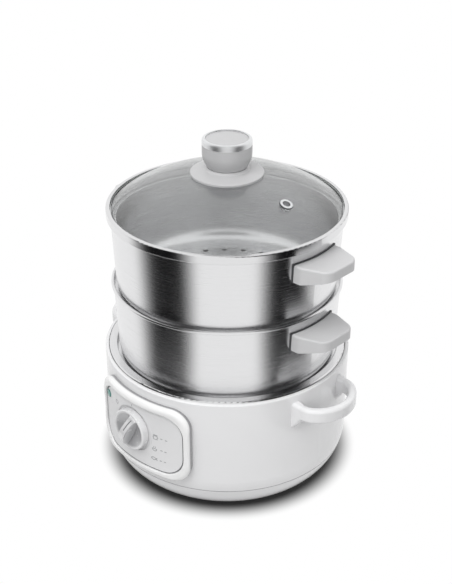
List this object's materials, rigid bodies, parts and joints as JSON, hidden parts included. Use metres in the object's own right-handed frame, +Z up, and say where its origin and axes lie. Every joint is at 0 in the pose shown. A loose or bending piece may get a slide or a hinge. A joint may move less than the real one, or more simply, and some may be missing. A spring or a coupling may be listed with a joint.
{
  "type": "electric food steamer",
  "caption": "Electric food steamer: a heated steel pot in a white base with a turning dial, stacked steel tiers with side handles, and a domed glass lid.",
  "frame": {"origin": "on the steamer's axis, on the plane that the rubber feet stand on", "axes": "+Z up along the axis; the control panel faces -Y; the handles are on +X and -X"},
  "size_m": [0.341, 0.2958, 0.3886],
  "materials": {
    "white_abs": "glossy white moulded plastic",
    "panel_grey": "pale grey semi-gloss moulded plastic",
    "knob_white": "white semi-gloss moulded plastic",
    "handle_grey": "light grey satin moulded plastic",
    "dark_silicone": "dark silicone",
    "clear_silicone": "translucent silicone",
    "foot_rubber": "black rubber",
    "pot_steel": "polished stainless steel",
    "tier_steel": "satin stainless steel, spun",
    "sheet_steel": "plain stainless sheet",
    "bright_steel": "bright plated",
    "fastener_steel": "zinc-plated steel",
    "cast_aluminium": "die-cast, machined face",
    "clear_glass": "clear toughened glass",
    "lamp_teal": "teal tinted lens",
    "black_plastic": "black moulded plastic",
    "board_green": "glass-fibre board",
    "fuse_ceramic": "glazed body"
  },
  "bodies": {
    "base": {"base_shell": "white_abs", "base_bottom_cover": "white_abs", "feet": "foot_rubber", "cover_screws": "fastener_steel", "inner_pot": "pot_steel", "pot_seal": "clear_silicone", "heating_plate": "cast_aluminium", "heating_tube": "sheet_steel", "thermostat": "fastener_steel", "thermal_fuse": "fuse_ceramic", "heat_shield": "sheet_steel", "pot_posts": "fastener_steel", "panel_bezel": "white_abs", "panel_face": "panel_grey", "indicator_lens": "lamp_teal", "indicator_lamp": "clear_glass", "lamp_board": "board_green", "switch_body": "black_plastic", "switch_plate": "sheet_steel", "switch_screws": "fastener_steel", "switch_terminals": "fastener_steel", "inlet_socket": "black_plastic", "inlet_pins": "bright_steel", "inlet_screws": "fastener_steel", "side_handle_right": "white_abs", "side_handle_left": "white_abs", "side_handle_screws": "fastener_steel"},
    "dial": {"control_knob": "knob_white", "knob_shaft": "fastener_steel"},
    "rack": {"steam_rack": "tier_steel", "rack_legs": "bright_steel"},
    "lower_tier": {"lower_tier_drum": "tier_steel", "lower_tier_floor": "tier_steel", "lower_tier_handle_right": "handle_grey", "lower_tier_handle_left": "handle_grey", "lower_tier_handle_gaskets": "dark_silicone", "lower_tier_handle_brackets": "sheet_steel", "lower_tier_handle_screws": "fastener_steel"},
    "upper_tier": {"upper_tier_drum": "tier_steel", "upper_tier_floor": "tier_steel", "upper_tier_handle_right": "handle_grey", "upper_tier_handle_left": "handle_grey", "upper_tier_handle_gaskets": "dark_silicone", "upper_tier_handle_brackets": "sheet_steel", "upper_tier_handle_screws": "fastener_steel"},
    "lid": {"lid_glass": "clear_glass", "lid_band": "pot_steel", "lid_gasket": "clear_silicone", "vent_grommet": "dark_silicone", "vent_eyelet": "bright_steel", "lid_knob_base": "handle_grey", "lid_knob_grip": "handle_grey", "lid_knob_ring": "bright_steel", "lid_knob_cap": "handle_grey", "lid_washer_seal": "clear_silicone", "lid_washer": "sheet_steel", "lid_screw": "fastener_steel"}
  },
  "joints": [
    {"name": "dial_turn", "type": "hinge", "parent": "base", "child": "dial", "pos_m": [-0.00486, -0.13922, 0.1], "axis": [0.0349, 0.9994, 0], "range_deg": [-25, 245]},
    {"name": "rack_lift", "type": "slide", "parent": "base", "child": "rack", "axis": [0, 0, 1], "range_m": [0, 0.12]},
    {"name": "lower_tier_lift", "type": "slide", "parent": "rack", "child": "lower_tier", "axis": [0, 0, 1], "range_m": [0, 0.08]},
    {"name": "upper_tier_lift", "type": "slide", "parent": "lower_tier", "child": "upper_tier", "axis": [0, 0, 1], "range_m": [0, 0.08]},
    {"name": "lid_lift", "type": "slide", "parent": "upper_tier", "child": "lid", "axis": [0, 0, 1], "range_m": [0, 0.08]}
  ]
}
